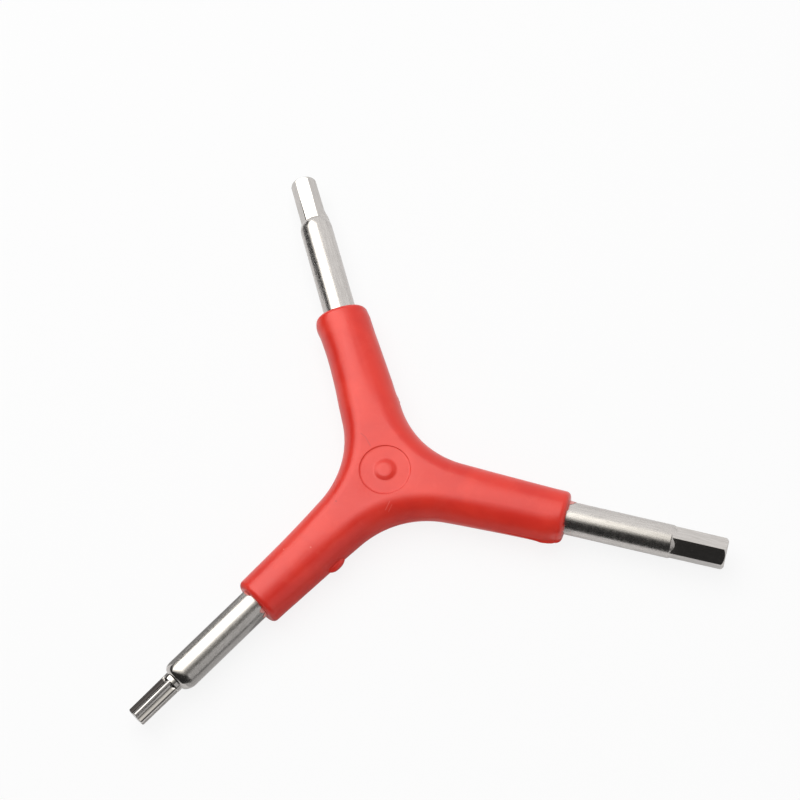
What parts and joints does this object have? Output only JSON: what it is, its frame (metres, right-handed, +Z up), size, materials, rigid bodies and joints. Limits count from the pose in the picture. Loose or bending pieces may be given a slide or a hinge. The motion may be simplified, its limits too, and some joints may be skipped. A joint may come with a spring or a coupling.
{
  "type": "y wrench",
  "caption": "Three-armed Y wrench: moulded plastic grip with a large hex key, a small hex key and a six-lobe key on round steel rods.",
  "frame": {"origin": "on the hub's axis, on the flat underside that the wrench lies on", "axes": "+Z up, through the hub and out of the face with the moulded disc; +X along the arm of the large hex key; the small hex key's arm is at 120 degrees and the six-lobe key's arm at 240 degrees, turning from +X to +Y"},
  "size_m": [0.1105, 0.1272, 0.011],
  "materials": {
    "grip_plastic": "red injection-moulded plastic, semi-gloss",
    "key_steel": "satin plated tool steel with fine drawn streaks"
  },
  "bodies": {
    "root": {"grip": "grip_plastic", "hex_key_large": "key_steel", "hex_key_small": "key_steel", "star_key": "key_steel"}
  },
  "joints": []
}
